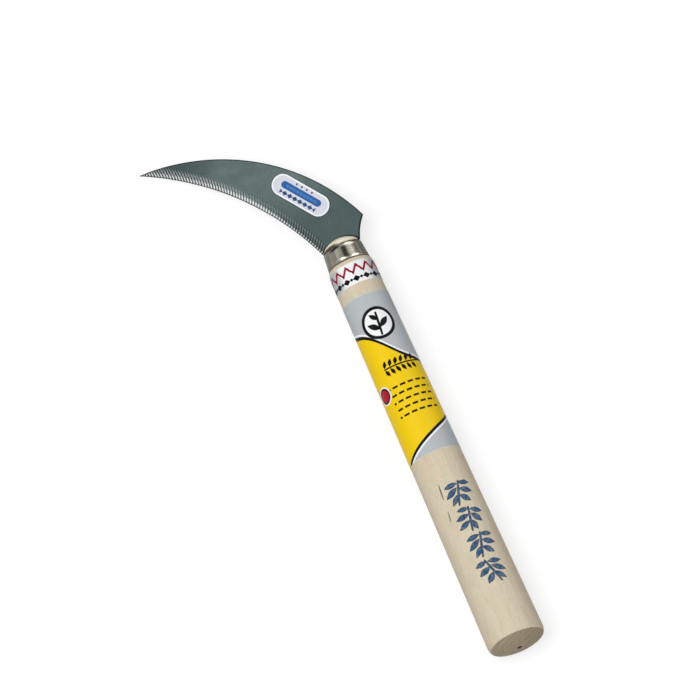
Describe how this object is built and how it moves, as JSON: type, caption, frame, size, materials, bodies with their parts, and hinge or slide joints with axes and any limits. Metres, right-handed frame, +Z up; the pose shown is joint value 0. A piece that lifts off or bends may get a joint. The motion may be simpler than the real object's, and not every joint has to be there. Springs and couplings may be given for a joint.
{
  "type": "hand sickle",
  "caption": "Hand sickle with a curved, saw-toothed steel blade, a metal ferrule and a turned wooden handle with paper labels.",
  "frame": {"origin": "middle of the handle's domed butt end, at the mouth of its lathe centre hole", "axes": "+X along the handle towards the blade, +Y to the side that the blade's tip reaches, +Z up as the tool lies on a bench with its toothed face up"},
  "size_m": [0.3375, 0.1046, 0.0324],
  "materials": {
    "handle_wood": "pale bare wood, turned and lightly sanded",
    "ferrule_nickel": "bright nickel plate",
    "blade_steel": "dull grey rolled steel, ground bright in the tooth grooves",
    "pin_steel": "plain steel wire",
    "band_paper": "white glossy label paper",
    "grip_paper": "yellow and silver-grey glossy label paper",
    "sticker_film": "pale glossy film sticker"
  },
  "bodies": {
    "root": {"handle": "handle_wood", "ferrule": "ferrule_nickel", "blade": "blade_steel", "tang_pin": "pin_steel", "band_label": "band_paper", "grip_label": "grip_paper", "blade_sticker": "sticker_film"}
  },
  "joints": []
}
